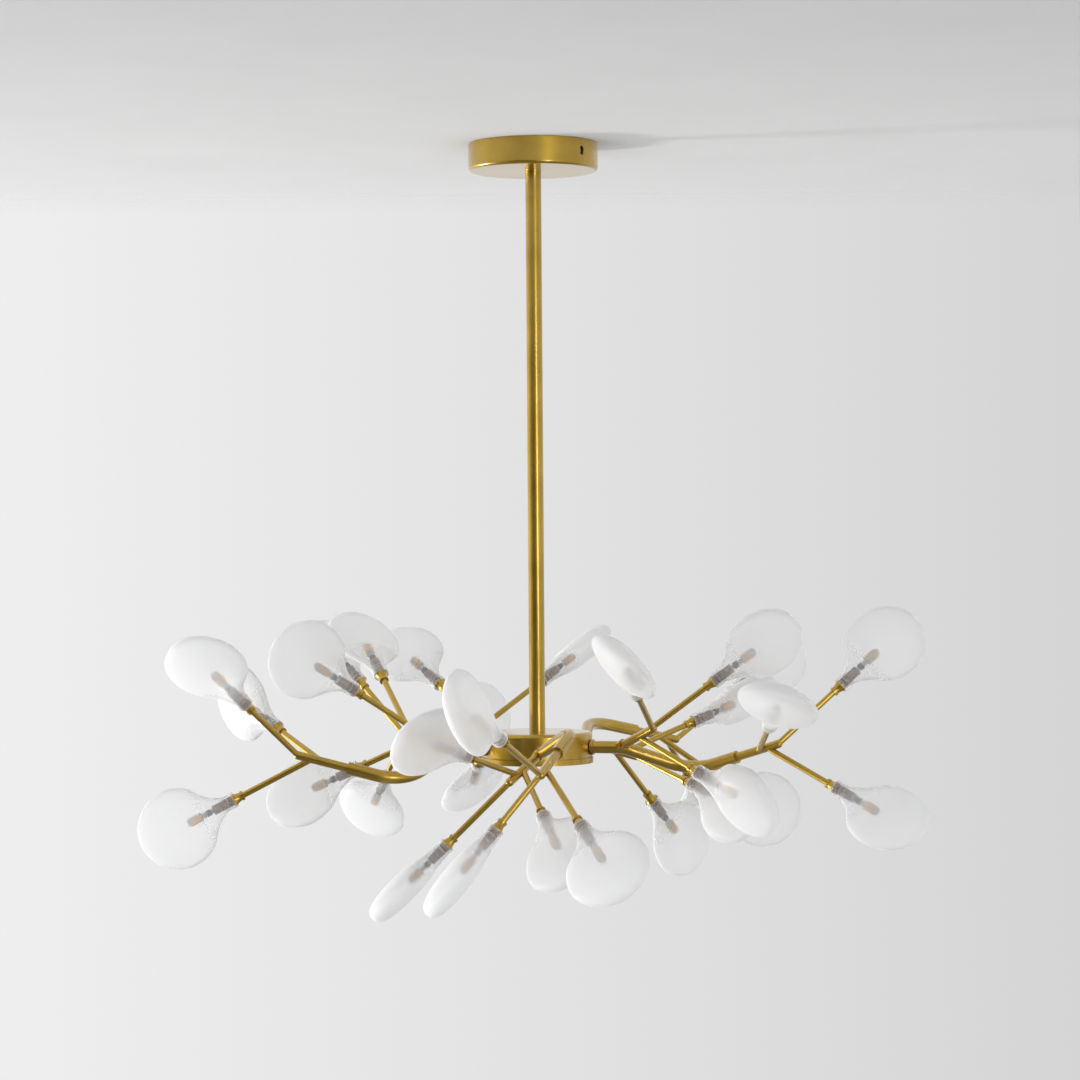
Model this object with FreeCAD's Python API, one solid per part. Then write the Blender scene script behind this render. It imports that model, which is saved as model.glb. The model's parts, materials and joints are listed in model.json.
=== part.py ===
import FreeCAD, Part
import math
import os

from FreeCAD import Placement, Rotation, Vector

# Sputnik chandelier hung from a ceiling canopy on a two-piece downrod.
# Five bent arms leave a drum hub, each with an outer and an inner branch,
# and every branch carries three small lamps in flat pebble shades.
# Millimetres, +Z up. The origin is the centre of the canopy on the ceiling.

# Clearances
FIT = 0.05                   # glued, screwed or soldered seats, on the radius
RUN_FIT = 0.06               # arm spigot turning in the hub, on the radius
PLAY = 0.3                   # faces that turn past each other
OVERRUN = 2.0                # how far a cutter runs past a face

# Canopy and ceiling bracket
CANOPY_D = 130.0
CANOPY_H = 27.0
CANOPY_WALL = 1.2
CANOPY_EDGE_R = 3.0
OVAL_W = 5.0
OVAL_H = 9.0
OVAL_DROP = 12.0             # ceiling to the middle of the oval hole
OVAL_AZIMUTH = -42
BRACKET_W = 20.0
BRACKET_T = 2.0
BRACKET_GAP = 1.0            # bracket corners to the canopy wall
BRACKET_TAB_H = 18.0
TAB_HOLE_D = 3.4
BOSS_D = 18.0
BOSS_H = 6.0
CEILING_HOLE_D = 5.5
CEILING_HOLE_SPACING = 70.0

# Electrical pieces under the canopy
DRIVER_W = 34.0
DRIVER_H = 17.0
DRIVER_BRACKET_GAP = 2.0
DRIVER_WALL_GAP = 2.8        # its far corners to the canopy wall
DRIVER_EDGE_R = 2.0
BLOCK_SIZE = (32.0, 18.0, 14.0)
BLOCK_OFFSET = -24.0
BLOCK_WAYS = 3
BLOCK_HOLE_D = 4.0
BLOCK_WIRE_LEVEL = 4.7       # canopy floor to the wire holes

# Downrod
ROD_D = 16.0
ROD_WALL = 1.5
ROD_SEAM = 252.0             # ceiling to the seam between the two tubes
ROD_PLUG_L = 14.0            # solid ends that take the threads
NIPPLE_D = 10.0
NIPPLE_BORE_D = 6.0
NIPPLE_TOP_GAP = 1.0         # nipple end below the ceiling
NIPPLE_GRIP = 12.0           # nipple inside the downrod
NUT_ACROSS = 15.0
NUT_H = 4.0
COUPLER_L = 34.0
COUPLER_WALL = 1.8

# Hub drum and lid
HUB_D = 110.0
HUB_TOP = 587.0              # ceiling to the top face
ARM_LEVEL = 602.0            # ceiling to the arm holes
HUB_BOTTOM = 618.0           # ceiling to the underside of the lid
HUB_WALL = 2.0
HUB_EDGE_R = 4.0
LID_OVERHANG = 1.0           # lid rim past the drum wall
LID_H = 5.5
SEAM_GAP = 0.8               # shadow line between the drum wall and the lid
LID_T = 2.0
LID_LIP_H = 2.0
LID_LIP_W = 1.5
PILLAR_D = 7.0
PILLAR_RING_D = 60.0
PILLAR_COUNT = 3
SCREW_D = 3.0
SCREW_HEAD_D = 5.6
SCREW_HEAD_H = 1.4
SCREW_L = 12.0
ARM_BOSS_D = 16.0
ARM_BOSS_DEPTH = 6.0         # hub wall to the flat inner face of a boss

# Bent arm tube
ARM_COUNT = 5
FIRST_ARM = 57               # azimuth of the back right arm
TUBE_D = 12.5
TUBE_WALL = 1.0
COLLAR_D = 15.5
COLLAR_L = 3.0
SPIGOT_D = 10.0
SPIGOT_BORE_D = 7.0
SPIGOT_TAIL = 1.5            # spigot past its nut
ROOT_L = 5.0                 # thick-walled root outside the hub
WASHER_T = 1.2
ARM_NUT_H = 5.0
STRAIGHT_1 = 25.0
BEND_R_1 = 30.0
STRAIGHT_2 = 40.0
BEND_R_2 = 48.0
STRAIGHT_3 = 28.0

# Branch tubes and lamp rods
BRANCH_D = 8.5
BRANCH_WALL = 0.8
OUTER_BRANCH_L = 49.5
INNER_BRANCH_L = 58.0
INNER_DISTANCE = 28.0        # hub wall to the inner branch, along the tube
PLUG_L = 12.0                # outer branch inside the arm tube
SLEEVE_D = 11.4
SLEEVE_START = 3.5
SLEEVE_END = 9.5
LAMP_ROD_D = 6.0
LAMP_ROD_WALL = 0.8

# The three rods of a branch
ROD_BACKS = (0.0, 14.0, 23.5)       # branch tip back to the rod
ROD_REACHES = (85.5, 86.0, 79.0)    # branch axis to the cup lip
ROD_LEANS = (47, 42, 47)            # away from the branch
ROD_TURNS = (0, -130, 125)          # about the branch

# Lamp cup
CUP_L = 11.0
CUP_RING_D = 9.5
CUP_RING_L = 2.5
CUP_NECK_D = 8.0
CUP_LIP_D = 12.8
CUP_LIP_L = 1.2
CUP_SEAT_DEPTH = 2.2
CUP_ROD_DEPTH = 5.0
FLARE_RADIUS_SHARE = 0.25    # how far the flare has opened at half its length

# Lamp socket and capsule
SOCKET_D = 10.2
SOCKET_TOP = 12.0            # cup lip to the socket's face
CAPSULE_D = 9.5
CAPSULE_WAIST_D = 7.2
CAPSULE_BASE_L = 10.0
CAPSULE_WAIST_L = 12.0
CAPSULE_TOP = 50.0           # cup lip to the capsule's tip
CAPSULE_TIP_R = 2.2
PIN_D = 1.0
PIN_SPACING = 4.0
PIN_L = 5.0

# Pebble shade
SHADE_R = 39.5               # half width of the disc
SHADE_HALF_T = 13.5          # half thickness at the middle
SHADE_CENTRE = 60.5          # cup lip to the middle of the disc
SHADE_WALL = 1.3
SHADE_NECK_L = 10.0
SHADE_OVERLAP = 1.5          # neck over the cup lip
SHADE_SHOULDER = 23.0        # cup lip to the shoulder section
SHADE_NECK_FIT = 0.1
SHOULDER_WIDTH_SHARE = 0.40
SHOULDER_THICKNESS_SHARE = 0.70
THICKNESS_POWER = 2.6        # above 2 the disc is flatter than an ellipse
DISC_ANGLES = (50, 64, 78, 92, 106, 120, 134, 147, 159, 170)

# How each arm is bent and turned. Roll turns the whole arm in its hub hole,
# 0 bends it straight down. Shade turns are measured from level.
ARMS = [
    {"name": "back_right", "roll": 114, "bend_1": 31, "bend_2": 64,
     "outer_turn": 68, "inner_lean": 64, "inner_swing": -185, "inner_turn": -3,
     "outer_shades": (70, 140, 75), "inner_shades": (70, 145, 90)},
    {"name": "back_left", "roll": 82, "bend_1": 29, "bend_2": 57,
     "outer_turn": 59, "inner_lean": 48, "inner_swing": -196, "inner_turn": -7,
     "outer_shades": (170, 40, 80), "inner_shades": (155, 150, 150)},
    {"name": "left", "roll": 53, "bend_1": 36, "bend_2": 61,
     "outer_turn": 73, "inner_lean": 46, "inner_swing": -179, "inner_turn": 1,
     "outer_shades": (25, 90, 80), "inner_shades": (10, 75, 130)},
    {"name": "front", "roll": 134, "bend_1": 30, "bend_2": 59,
     "outer_turn": 62, "inner_lean": 52, "inner_swing": -186, "inner_turn": 9,
     "outer_shades": (108, 40, 20), "inner_shades": (5, 50, 50)},
    {"name": "right", "roll": 50, "bend_1": 31, "bend_2": 58,
     "outer_turn": 78, "inner_lean": 48, "inner_swing": -173, "inner_turn": 8,
     "outer_shades": (55, 35, 160), "inner_shades": (141, 130, 120)},
]

UP = Vector(0, 0, 1)
DOWN = Vector(0, 0, -1)
OUT = Vector(1, 0, 0)


# Small helpers

def cylinder(diameter, length, start=Vector(), direction=UP):
    return Part.makeCylinder(diameter / 2, length, start, direction)


def hex_nut(across, height, bore, top, direction=DOWN):
    """A nut whose top face is centred on top and which grows along direction."""
    corner = across / 2 / math.cos(math.radians(30))
    ring = [Vector(corner * math.cos(math.radians(a)), corner * math.sin(math.radians(a)), 0)
            for a in range(0, 361, 60)]
    nut = Part.Face(Part.makePolygon(ring)).extrude(Vector(0, 0, height))
    nut = nut.cut(cylinder(bore, height + OVERRUN * 2, Vector(0, 0, -OVERRUN)))
    nut.Placement = Placement(top, Rotation(UP, direction))
    return nut


def block(size, centre_x, centre_y, bottom):
    """An upright box, centred in plan."""
    length, width, height = size
    return Part.makeBox(length, width, height,
                        Vector(centre_x - length / 2, centre_y - width / 2, bottom))


def turned(outline):
    """A solid of revolution about Z from a closed list of edges."""
    face = Part.Face(Part.Wire(outline))
    return face.revolve(Vector(), UP, 360)


def line(first, last):
    return Part.LineSegment(first, last).toShape()


def polyline(points):
    return [line(a, b) for a, b in zip(points, points[1:])]


def save(name, shapes):
    """Write one node. Several shapes stay separate solids in it."""
    shape = shapes[0] if len(shapes) == 1 else Part.makeCompound(shapes)
    shape.exportStep("parts/%s.step" % name)


# Canopy

def canopy_slots():
    """Two opposite upright oval holes in the side wall."""
    straight = OVAL_H - OVAL_W
    slot = block((CANOPY_D + OVERRUN, OVAL_W, straight), 0, 0, -OVAL_DROP - straight / 2)
    for end in (-1, 1):
        start = Vector(-(CANOPY_D + OVERRUN) / 2, 0, -OVAL_DROP + end * straight / 2)
        slot = slot.fuse(cylinder(OVAL_W, CANOPY_D + OVERRUN, start, OUT))
    slot.rotate(Vector(), UP, OVAL_AZIMUTH)
    return slot


def canopy_cover():
    body = cylinder(CANOPY_D, CANOPY_H, Vector(0, 0, -CANOPY_H))
    rim = [e for e in body.Edges if abs(e.BoundBox.ZMax + CANOPY_H) < FIT and len(e.Vertexes) == 1]
    body = body.makeFillet(CANOPY_EDGE_R, rim)
    hollow = cylinder(CANOPY_D - 2 * CANOPY_WALL, CANOPY_H,
                      Vector(0, 0, -CANOPY_H + CANOPY_WALL))
    floor = [e for e in hollow.Edges
             if abs(e.BoundBox.ZMax + CANOPY_H - CANOPY_WALL) < FIT and len(e.Vertexes) == 1]
    hollow = hollow.makeFillet(CANOPY_EDGE_R - CANOPY_WALL, floor)
    hole = cylinder(NIPPLE_D + 2 * FIT, CANOPY_H, Vector(0, 0, -CANOPY_H - OVERRUN))
    return body.cut(hollow).cut(hole).cut(canopy_slots())


def ceiling_bracket():
    """A flat bar against the ceiling with turned-down ends and a threaded boss."""
    reach = CANOPY_D / 2 - CANOPY_WALL - BRACKET_GAP
    half = math.sqrt(reach ** 2 - (BRACKET_W / 2) ** 2)
    bar = block((2 * half, BRACKET_W, BRACKET_T), 0, 0, -BRACKET_T)
    for side in (-1, 1):
        middle = side * (half - BRACKET_T / 2)
        bar = bar.fuse(block((BRACKET_T, BRACKET_W, BRACKET_TAB_H), middle, 0, -BRACKET_TAB_H))
    bar = bar.fuse(cylinder(BOSS_D, BRACKET_T + BOSS_H, Vector(), DOWN))
    bar = bar.cut(cylinder(NIPPLE_D + 2 * FIT, CANOPY_H, Vector(0, 0, OVERRUN), DOWN))
    for side in (-1, 1):
        place = Vector(side * CEILING_HOLE_SPACING / 2, 0, OVERRUN)
        bar = bar.cut(cylinder(CEILING_HOLE_D, BRACKET_T + 2 * OVERRUN, place, DOWN))
    start = Vector(-half - OVERRUN, 0, -OVAL_DROP)
    tab_holes = cylinder(TAB_HOLE_D, 2 * (half + OVERRUN), start, OUT)
    bar = bar.cut(tab_holes).removeSplitter()
    bar.rotate(Vector(), UP, OVAL_AZIMUTH)
    return bar


def rod_top_nipple():
    length = CANOPY_H + NIPPLE_GRIP - NIPPLE_TOP_GAP
    top = Vector(0, 0, -NIPPLE_TOP_GAP)
    return cylinder(NIPPLE_D, length, top, DOWN).cut(cylinder(NIPPLE_BORE_D, length, top, DOWN))


def nipple_nuts():
    """One locks the nipple under the bracket boss, one holds the canopy floor."""
    bore = NIPPLE_D + 2 * FIT
    upper = hex_nut(NUT_ACROSS, NUT_H, bore, Vector(0, 0, -BRACKET_T - BOSS_H))
    lower = hex_nut(NUT_ACROSS, NUT_H, bore, Vector(0, 0, -CANOPY_H + CANOPY_WALL + NUT_H))
    return [upper, lower]


def led_driver():
    near = BRACKET_W / 2 + DRIVER_BRACKET_GAP
    corner_r = CANOPY_D / 2 - CANOPY_WALL - DRIVER_WALL_GAP
    length = 2 * math.sqrt(corner_r ** 2 - (near + DRIVER_W) ** 2)
    box = block((length, DRIVER_W, DRIVER_H), 0, near + DRIVER_W / 2, -CANOPY_H + CANOPY_WALL)
    upright = [e for e in box.Edges if e.BoundBox.ZLength > DRIVER_H - FIT]
    box = box.makeFillet(DRIVER_EDGE_R, upright)
    box.rotate(Vector(), UP, OVAL_AZIMUTH)
    return box


def terminal_block():
    floor = -CANOPY_H + CANOPY_WALL
    length, width, height = BLOCK_SIZE
    box = block(BLOCK_SIZE, 0, BLOCK_OFFSET, floor)
    pitch = length / BLOCK_WAYS
    for way in range(BLOCK_WAYS):
        x = way * pitch - (length - pitch) / 2
        entry = Vector(x, BLOCK_OFFSET - width / 2 - OVERRUN, floor + BLOCK_WIRE_LEVEL)
        box = box.cut(cylinder(BLOCK_HOLE_D, width + 2 * OVERRUN, entry, Vector(0, 1, 0)))
        screw = Vector(x, BLOCK_OFFSET, floor + BLOCK_WIRE_LEVEL)
        box = box.cut(cylinder(BLOCK_HOLE_D, height, screw, UP))
    box.rotate(Vector(), UP, OVAL_AZIMUTH)
    return box


# Downrod

def rod_tube(top, bottom):
    """A tube between two depths below the ceiling, before its ends are made."""
    length = bottom - top
    start = Vector(0, 0, -top)
    return cylinder(ROD_D, length, start, DOWN)


def downrod_upper():
    body = rod_tube(CANOPY_H, ROD_SEAM)
    thread = cylinder(NIPPLE_D + 2 * FIT, ROD_PLUG_L + OVERRUN,
                      Vector(0, 0, -CANOPY_H + OVERRUN), DOWN)
    bore = cylinder(ROD_D - 2 * ROD_WALL, ROD_SEAM,
                    Vector(0, 0, -CANOPY_H - ROD_PLUG_L), DOWN)
    return body.cut(thread).cut(bore)


def downrod_lower():
    body = rod_tube(ROD_SEAM, HUB_TOP)
    bore_end = HUB_TOP - ROD_PLUG_L
    bore = cylinder(ROD_D - 2 * ROD_WALL, bore_end - ROD_SEAM + OVERRUN,
                    Vector(0, 0, -ROD_SEAM + OVERRUN), DOWN)
    tail = HUB_WALL + NUT_H + SPIGOT_TAIL
    spigot = cylinder(NIPPLE_D, tail, Vector(0, 0, -HUB_TOP), DOWN)
    wires = cylinder(NIPPLE_BORE_D, ROD_PLUG_L + tail + 2 * OVERRUN,
                     Vector(0, 0, -bore_end + OVERRUN), DOWN)
    return body.fuse(spigot).cut(bore).cut(wires)


def rod_coupler():
    outer = ROD_D - 2 * ROD_WALL - 2 * FIT
    start = Vector(0, 0, -ROD_SEAM + COUPLER_L / 2)
    body = cylinder(outer, COUPLER_L, start, DOWN)
    return body.cut(cylinder(outer - 2 * COUPLER_WALL, COUPLER_L, start, DOWN))


def hub_rod_nut():
    return hex_nut(NUT_ACROSS, NUT_H, NIPPLE_D + 2 * FIT, Vector(0, 0, -HUB_TOP - HUB_WALL))


# Hub

def arm_azimuth(index):
    return FIRST_ARM + index * 360 / ARM_COUNT


def around(shape, count, first):
    """Copies of a shape turned evenly about Z."""
    copies = []
    for index in range(count):
        copy = shape.copy()
        copy.rotate(Vector(), UP, first + index * 360 / count)
        copies.append(copy)
    return copies


def hub_drum():
    seam = HUB_BOTTOM - LID_H
    height = seam - SEAM_GAP - HUB_TOP
    inner_d = HUB_D - 2 * HUB_WALL
    body = cylinder(HUB_D, height, Vector(0, 0, -HUB_TOP), DOWN)
    top = [e for e in body.Edges if abs(e.BoundBox.ZMin + HUB_TOP) < FIT and len(e.Vertexes) == 1]
    body = body.makeFillet(HUB_EDGE_R, top)
    hollow = cylinder(inner_d, height, Vector(0, 0, -HUB_TOP - HUB_WALL), DOWN)
    body = body.cut(hollow)
    face = HUB_D / 2 - ARM_BOSS_DEPTH
    boss = cylinder(ARM_BOSS_D, ARM_BOSS_DEPTH - HUB_WALL / 2, Vector(face, 0, -ARM_LEVEL), OUT)
    for copy in around(boss, ARM_COUNT, FIRST_ARM):
        body = body.fuse(copy)
    hole = cylinder(SPIGOT_D + 2 * RUN_FIT, ARM_BOSS_DEPTH + 2 * OVERRUN,
                    Vector(face - OVERRUN, 0, -ARM_LEVEL), OUT)
    for copy in around(hole, ARM_COUNT, FIRST_ARM):
        body = body.cut(copy)
    foot = Vector(PILLAR_RING_D / 2, 0, -seam)
    pillar = cylinder(PILLAR_D, seam - HUB_TOP - HUB_WALL, foot)
    pillar = pillar.cut(cylinder(SCREW_D + 2 * FIT, SCREW_L, foot - Vector(0, 0, OVERRUN)))
    for copy in around(pillar, PILLAR_COUNT, 0):
        body = body.fuse(copy)
    rod_hole = cylinder(NIPPLE_D + 2 * FIT, HUB_WALL + 2 * OVERRUN,
                        Vector(0, 0, -HUB_TOP + OVERRUN), DOWN)
    return body.cut(rod_hole)


def hub_lid():
    """A shallow pan. Its lip centres it inside the drum."""
    seam = HUB_BOTTOM - LID_H
    body = cylinder(HUB_D + 2 * LID_OVERHANG, LID_H, Vector(0, 0, -HUB_BOTTOM))
    lip_d = HUB_D - 2 * HUB_WALL - 2 * FIT
    body = body.fuse(cylinder(lip_d, LID_LIP_H, Vector(0, 0, -seam)))
    hollow_d = lip_d - 2 * LID_LIP_W
    body = body.cut(cylinder(hollow_d, LID_H + LID_LIP_H, Vector(0, 0, -HUB_BOTTOM + LID_T)))
    post = cylinder(PILLAR_D, LID_H - LID_T, Vector(PILLAR_RING_D / 2, 0, -HUB_BOTTOM + LID_T))
    for copy in around(post, PILLAR_COUNT, 0):
        body = body.fuse(copy)
    start = Vector(PILLAR_RING_D / 2, 0, -HUB_BOTTOM - OVERRUN)
    shank = cylinder(SCREW_D + 2 * FIT, LID_H + 2 * OVERRUN, start)
    head = cylinder(SCREW_HEAD_D + 2 * FIT, SCREW_HEAD_H + OVERRUN, start)
    for copy in around(shank.fuse(head), PILLAR_COUNT, 0):
        body = body.cut(copy)
    return body


def lid_screws():
    start = Vector(PILLAR_RING_D / 2, 0, -HUB_BOTTOM)
    screw = cylinder(SCREW_HEAD_D, SCREW_HEAD_H, start)
    screw = screw.fuse(cylinder(SCREW_D, SCREW_L, start))
    return around(screw, PILLAR_COUNT, 0)


# Bent arm tube, drawn in a flat local frame: X out of the hub, Y the way it
# bends and Z square to the bend.

def arm_moves(arm, last):
    """The centre line as (kind, size, angle) moves after the first straight."""
    return [("turn", BEND_R_1, arm["bend_1"]), ("straight", STRAIGHT_2, 0),
            ("turn", BEND_R_2, -arm["bend_2"]), ("straight", last, 0)]


def unit(angle):
    return Vector(math.cos(math.radians(angle)), math.sin(math.radians(angle)), 0)


def arm_line(arm, start, last):
    """Edges of the centre line from X = start, with its end and heading."""
    point = Vector(HUB_D / 2 + STRAIGHT_1, 0, 0)
    edges = [line(Vector(start, 0, 0), point)]
    heading = 0
    for kind, size, angle in arm_moves(arm, last):
        if kind == "straight":
            end = point + unit(heading) * size
            edges.append(line(point, end))
        else:
            side = math.copysign(1, angle)
            centre = point + unit(heading + side * 90) * size
            middle = centre - unit(heading + angle / 2 + side * 90) * size
            end = centre - unit(heading + angle + side * 90) * size
            edges.append(Part.Arc(point, middle, end).toShape())
            heading += angle
        point = end
    return edges, point, heading


def arm_pipe(arm, diameter, start, last):
    edges = arm_line(arm, start, last)[0]
    ring = Part.Circle(Vector(start, 0, 0), OUT, diameter / 2).toShape()
    return Part.Wire(edges).makePipe(Part.Face(Part.Wire([ring])))


def collar_start():
    return HUB_D / 2 + PLAY


def washer_start():
    return HUB_D / 2 - ARM_BOSS_DEPTH - PLAY


def arm_tube(arm, inner):
    root = collar_start()
    body = arm_pipe(arm, TUBE_D, root, STRAIGHT_3)
    body = body.fuse(cylinder(COLLAR_D, COLLAR_L, Vector(root, 0, 0), OUT))
    tail = washer_start() - WASHER_T - ARM_NUT_H - SPIGOT_TAIL
    body = body.fuse(cylinder(SPIGOT_D, root + COLLAR_L - tail, Vector(tail, 0, 0), OUT))
    body = body.cut(arm_pipe(arm, TUBE_D - 2 * TUBE_WALL, root + ROOT_L, STRAIGHT_3 + OVERRUN))
    body = body.cut(cylinder(SPIGOT_BORE_D, root + ROOT_L - tail + 2 * OVERRUN,
                             Vector(tail - OVERRUN, 0, 0), OUT))
    far = SLEEVE_END + TUBE_D
    branch_hole = cylinder(BRANCH_D + 2 * FIT, far, inner["base"], inner["axis"])
    sleeve_start = inner["base"] + inner["axis"] * (SLEEVE_START - FIT)
    sleeve_hole = cylinder(SLEEVE_D + 2 * FIT, far, sleeve_start, inner["axis"])
    return body.cut(branch_hole).cut(sleeve_hole)


def arm_nut():
    """A flat washer and a nut on the spigot, against the boss inside the hub."""
    bore = SPIGOT_D + 2 * FIT
    inward = Vector(-1, 0, 0)
    washer = cylinder(ARM_BOSS_D, WASHER_T, Vector(washer_start(), 0, 0), inward)
    washer = washer.cut(cylinder(bore, WASHER_T, Vector(washer_start(), 0, 0), inward))
    top = Vector(washer_start() - WASHER_T, 0, 0)
    return [washer, hex_nut(NUT_ACROSS, ARM_NUT_H, bore, top, inward)]


# Branches

def frame_on(base, axis, side):
    """Base point, axis and the two directions that rod turns are measured from."""
    return {"base": base, "axis": axis, "side": side, "across": axis.cross(side)}


def mixed(first, second, angle):
    a = math.radians(angle)
    return first * math.cos(a) + second * math.sin(a)


def outer_frame(arm):
    end, heading = arm_line(arm, collar_start(), STRAIGHT_3)[1:]
    frame = frame_on(end, unit(heading), unit(heading + 90))
    frame["length"] = OUTER_BRANCH_L
    frame["turn"] = arm["outer_turn"]
    return frame


def inner_frame(arm):
    """The inner branch starts on the axis of the first bend."""
    bent = math.degrees((INNER_DISTANCE - STRAIGHT_1) / BEND_R_1)
    centre = Vector(HUB_D / 2 + STRAIGHT_1, BEND_R_1, 0)
    base = centre - unit(bent + 90) * BEND_R_1
    along = unit(bent)
    sideways = mixed(unit(bent + 90), Vector(0, 0, 1), arm["inner_swing"])
    axis = mixed(along, sideways, arm["inner_lean"])
    frame = frame_on(base, axis, mixed(sideways, -along, arm["inner_lean"]))
    frame["length"] = INNER_BRANCH_L
    frame["turn"] = arm["inner_turn"]
    return frame


def branch_lamps(frame):
    """Where the rods of a branch start, where their cup lips are and their direction."""
    lamps = []
    for back, reach, lean, turn in zip(ROD_BACKS, ROD_REACHES, ROD_LEANS, ROD_TURNS):
        start = frame["base"] + frame["axis"] * (frame["length"] - back)
        away = mixed(frame["side"], frame["across"], turn + frame["turn"])
        direction = mixed(frame["axis"], away, lean)
        lamps.append((start, start + direction * reach, direction))
    return lamps


def branch(frame, root):
    """A tube with a domed tip and three lamp rods. root is fused on at its base."""
    base, axis, length = frame["base"], frame["axis"], frame["length"]
    tip = base + axis * length
    body = root.fuse(cylinder(BRANCH_D, length, base, axis))
    body = body.fuse(Part.makeSphere(BRANCH_D / 2, tip))
    bore_d = BRANCH_D - 2 * BRANCH_WALL
    rod_bore = LAMP_ROD_D - 2 * LAMP_ROD_WALL
    cut_short = CUP_L - CUP_ROD_DEPTH
    bores = [cylinder(bore_d, length + PLUG_L + OVERRUN, base - axis * (PLUG_L + OVERRUN), axis)]
    for start, lip, direction in branch_lamps(frame):
        reach = (lip - start).Length - cut_short
        body = body.fuse(cylinder(LAMP_ROD_D, reach, start, direction))
        bores.append(cylinder(rod_bore, reach + OVERRUN, start, direction))
    for bore in bores:
        body = body.cut(bore)
    return body


def outer_branch(frame):
    """Plugged into the end of the arm tube."""
    plug_d = TUBE_D - 2 * TUBE_WALL - 2 * FIT
    root = cylinder(plug_d, PLUG_L, frame["base"] - frame["axis"] * PLUG_L, frame["axis"])
    return branch(frame, root)


def inner_branch(frame):
    """Set through a hole in the arm tube, with a short sleeve round it there."""
    start = frame["base"] + frame["axis"] * SLEEVE_START
    root = cylinder(SLEEVE_D, SLEEVE_END - SLEEVE_START, start, frame["axis"])
    return branch(frame, root)


# Lamps, drawn with the cup lip at the origin and +Z out of the cup

def at(radius, height):
    return Vector(radius, 0, height)


def lamp_cup():
    """A small trumpet on the end of the rod."""
    lip, neck, ring = CUP_LIP_D / 2, CUP_NECK_D / 2, CUP_RING_D / 2
    rod_r = LAMP_ROD_D / 2 + FIT
    seat_r = SOCKET_D / 2 + FIT
    wire_r = LAMP_ROD_D / 2 - LAMP_ROD_WALL
    ring_top = CUP_RING_L - CUP_L
    flare_mid = at(neck + (lip - neck) * FLARE_RADIUS_SHARE, (ring_top - CUP_LIP_L) / 2)
    flare = Part.Arc(at(neck, ring_top), flare_mid, at(lip, -CUP_LIP_L)).toShape()
    outline = polyline([at(rod_r, -CUP_L), at(ring, -CUP_L), at(ring, ring_top), at(neck, ring_top)])
    outline.append(flare)
    outline += polyline([
        at(lip, -CUP_LIP_L), at(lip, 0), at(seat_r, 0), at(seat_r, -CUP_SEAT_DEPTH),
        at(wire_r, -CUP_SEAT_DEPTH), at(wire_r, CUP_ROD_DEPTH - CUP_L),
        at(rod_r, CUP_ROD_DEPTH - CUP_L), at(rod_r, -CUP_L)])
    return turned(outline)


def lamp_pins(diameter, length, top):
    return [cylinder(diameter, length, Vector(side * PIN_SPACING / 2, 0, top), DOWN)
            for side in (-1, 1)]


def lamp_socket():
    body = cylinder(SOCKET_D, SOCKET_TOP + CUP_SEAT_DEPTH, Vector(0, 0, -CUP_SEAT_DEPTH))
    for hole in lamp_pins(PIN_D + 2 * FIT, PIN_L + OVERRUN, SOCKET_TOP + FIT):
        body = body.cut(hole)
    return body


def led_capsule():
    """A base on two pins, a narrow waist and a rounded light tip."""
    base_top = SOCKET_TOP + CAPSULE_BASE_L
    waist_top = base_top + CAPSULE_WAIST_L
    body = cylinder(CAPSULE_D, CAPSULE_BASE_L, Vector(0, 0, SOCKET_TOP))
    body = body.fuse(cylinder(CAPSULE_WAIST_D, CAPSULE_WAIST_L, Vector(0, 0, base_top)))
    tip = cylinder(CAPSULE_D, CAPSULE_TOP - waist_top, Vector(0, 0, waist_top))
    crown = [e for e in tip.Edges if abs(e.BoundBox.ZMin - CAPSULE_TOP) < FIT and len(e.Vertexes) == 1]
    body = body.fuse(tip.makeFillet(CAPSULE_TIP_R, crown))
    for pin in lamp_pins(PIN_D, PIN_L, SOCKET_TOP):
        body = body.fuse(pin)
    return body


def ellipse(height, half_width, half_thickness):
    return Part.Wire([Part.Ellipse(Vector(0, 0, height), half_width, half_thickness).toShape()])


def pebble(inset, below):
    """The outer form of the shade, or its hollow when inset by the wall."""
    neck_r = CUP_LIP_D / 2 + SHADE_NECK_FIT + SHADE_WALL - inset
    radius = SHADE_R - inset
    half_t = SHADE_HALF_T - inset
    rings = [ellipse(-SHADE_OVERLAP - below, neck_r, neck_r),
             ellipse(SHADE_NECK_L, neck_r, neck_r),
             ellipse(SHADE_SHOULDER, SHADE_R * SHOULDER_WIDTH_SHARE - inset,
                     SHADE_HALF_T * SHOULDER_THICKNESS_SHARE - inset)]
    for angle in DISC_ANGLES:
        along = math.cos(math.radians(angle))
        across = math.sin(math.radians(angle))
        thickness = (1 - abs(along) ** THICKNESS_POWER) ** (1 / THICKNESS_POWER)
        rings.append(ellipse(SHADE_CENTRE - radius * along, radius * across, half_t * thickness))
    return Part.makeLoft(rings, True, False)


def pebble_shade():
    """A thin shell. A straight bore keeps its neck clear of the cup lip."""
    bore_d = CUP_LIP_D + 2 * SHADE_NECK_FIT
    bore = cylinder(bore_d, SHADE_OVERLAP + SHADE_NECK_L + OVERRUN,
                    Vector(0, 0, -SHADE_OVERLAP - OVERRUN))
    return pebble(0, 0).cut(pebble(SHADE_WALL, OVERRUN)).cut(bore)


# Placing the arms and their lamps

def arm_place(index, arm):
    """From the flat arm frame to the room: roll in the hub hole, then azimuth."""
    roll = Rotation(OUT, arm["roll"] - 90)
    turn = Rotation(UP, arm_azimuth(index))
    return Placement(Vector(0, 0, -ARM_LEVEL), turn.multiply(roll))


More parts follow.
